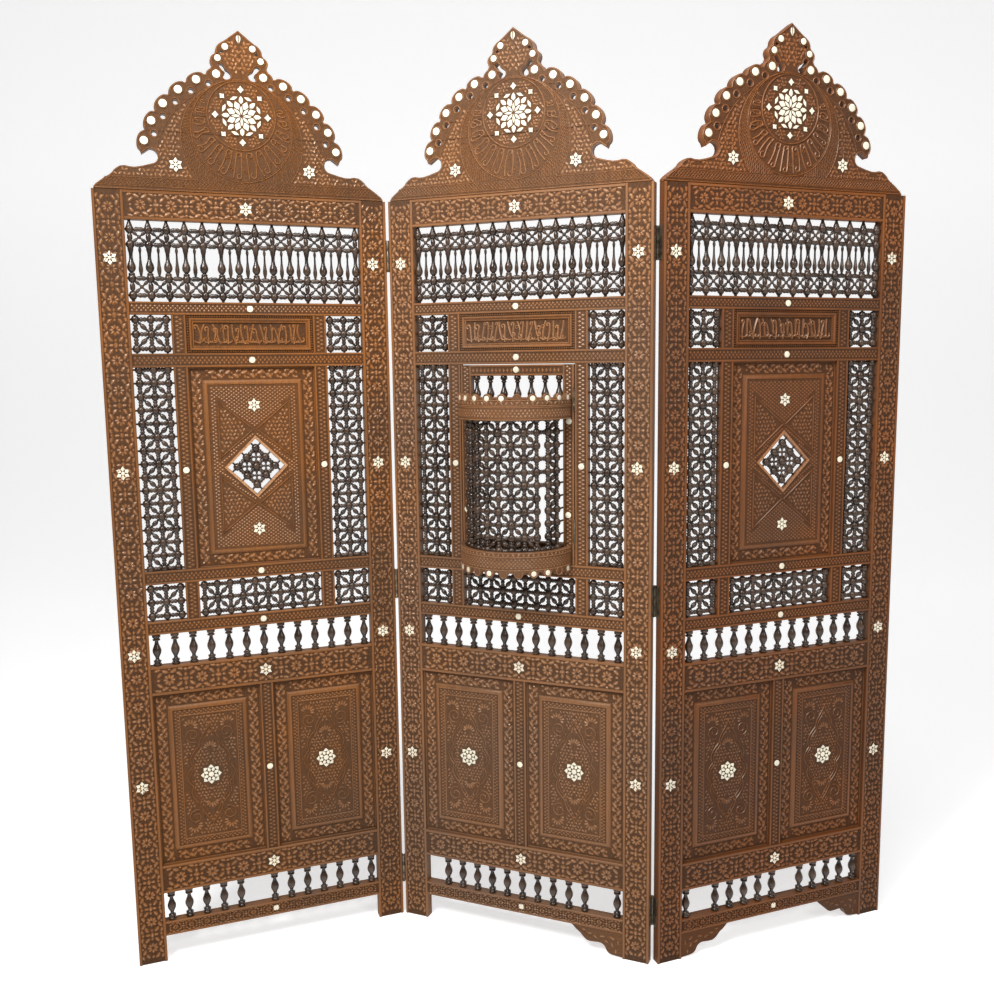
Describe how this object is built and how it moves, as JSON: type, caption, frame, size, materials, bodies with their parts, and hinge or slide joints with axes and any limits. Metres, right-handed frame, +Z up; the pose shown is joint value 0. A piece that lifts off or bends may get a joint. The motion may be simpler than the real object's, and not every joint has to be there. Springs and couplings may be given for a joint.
{
  "type": "folding mashrabiya screen",
  "caption": "Tall folding zigzag screen of carved wood with turned lattices, baluster rows, pierced lobed crests, bone inlay and a hinged half-round lattice bay window.",
  "frame": {"origin": "on the floor, at the middle of the standing screen's footprint", "axes": "+Z up; -Y is the front, where the bay window stands out; +X to the viewer's right"},
  "size_m": [1.7428, 0.2592, 2.0353],
  "materials": {
    "left_leaf_wood": "waxed walnut, warm orange brown, worn lighter on the carving, dusty dark brown low down",
    "middle_leaf_wood": "waxed walnut, paler rosy brown with a satin shine, grey brown low down",
    "right_leaf_wood": "waxed walnut, redder brown, nearly black brown low down",
    "turned_wood": "dark grey brown turned wood, satin on the beads",
    "bone_inlay": "polished ivory-white bone and mother of pearl",
    "hinge_metal": "darkened steel, dull"
  },
  "bodies": {
    "middle_leaf": {"middle_crest": "middle_leaf_wood", "middle_stile_left": "middle_leaf_wood", "middle_stile_right": "middle_leaf_wood", "middle_top_rail": "middle_leaf_wood", "middle_cross_frame": "middle_leaf_wood", "middle_dado_frame": "middle_leaf_wood", "middle_bottom_rail": "middle_leaf_wood", "middle_lower_panel_left": "middle_leaf_wood", "middle_lower_panel_right": "middle_leaf_wood", "middle_tablet": "middle_leaf_wood", "middle_frieze_lattice": "turned_wood", "middle_side_lattice_left": "turned_wood", "middle_side_lattice_right": "turned_wood", "left_hinge_upper_inner": "hinge_metal", "left_hinge_middle_inner": "hinge_metal", "left_hinge_lower_inner": "hinge_metal", "right_hinge_upper_inner": "hinge_metal", "right_hinge_middle_inner": "hinge_metal", "right_hinge_lower_inner": "hinge_metal"},
    "left_leaf": {"left_crest": "left_leaf_wood", "left_stile_left": "left_leaf_wood", "left_stile_right": "left_leaf_wood", "left_top_rail": "left_leaf_wood", "left_cross_frame": "left_leaf_wood", "left_dado_frame": "left_leaf_wood", "left_bottom_rail": "left_leaf_wood", "left_lower_panel_left": "left_leaf_wood", "left_lower_panel_right": "left_leaf_wood", "left_tablet": "left_leaf_wood", "left_frieze_lattice": "turned_wood", "left_side_lattice_left": "turned_wood", "left_side_lattice_right": "turned_wood", "left_centre_panel": "left_leaf_wood", "left_hinge_upper_outer": "hinge_metal", "left_hinge_middle_outer": "hinge_metal", "left_hinge_lower_outer": "hinge_metal"},
    "right_leaf": {"right_crest": "right_leaf_wood", "right_stile_left": "right_leaf_wood", "right_stile_right": "right_leaf_wood", "right_top_rail": "right_leaf_wood", "right_cross_frame": "right_leaf_wood", "right_dado_frame": "right_leaf_wood", "right_bottom_rail": "right_leaf_wood", "right_lower_panel_left": "right_leaf_wood", "right_lower_panel_right": "right_leaf_wood", "right_tablet": "right_leaf_wood", "right_frieze_lattice": "turned_wood", "right_side_lattice_left": "turned_wood", "right_side_lattice_right": "turned_wood", "right_centre_panel": "right_leaf_wood", "right_hinge_upper_outer": "hinge_metal", "right_hinge_middle_outer": "hinge_metal", "right_hinge_lower_outer": "hinge_metal"},
    "window": {"middle_window_sash": "middle_leaf_wood", "middle_bay_hood": "middle_leaf_wood", "middle_bay_base": "middle_leaf_wood", "middle_bay_lattice": "turned_wood", "window_hinge_upper": "hinge_metal", "window_hinge_lower": "hinge_metal"}
  },
  "joints": [
    {"name": "left_fold", "type": "hinge", "parent": "middle_leaf", "child": "left_leaf", "pos_m": [-0.28973, 0.10749, 0.827], "axis": [0, 0, 1], "range_deg": [-42.4, 95.5]},
    {"name": "right_fold", "type": "hinge", "parent": "middle_leaf", "child": "right_leaf", "pos_m": [0.2904, -0.09662, 0.827], "axis": [0, 0, 1], "range_deg": [-42.6, 137]},
    {"name": "window_swing", "type": "hinge", "parent": "middle_leaf", "child": "window", "pos_m": [0.11991, -0.05503, 1.117], "axis": [0, 0, 1], "range_deg": [0, 95]}
  ]
}
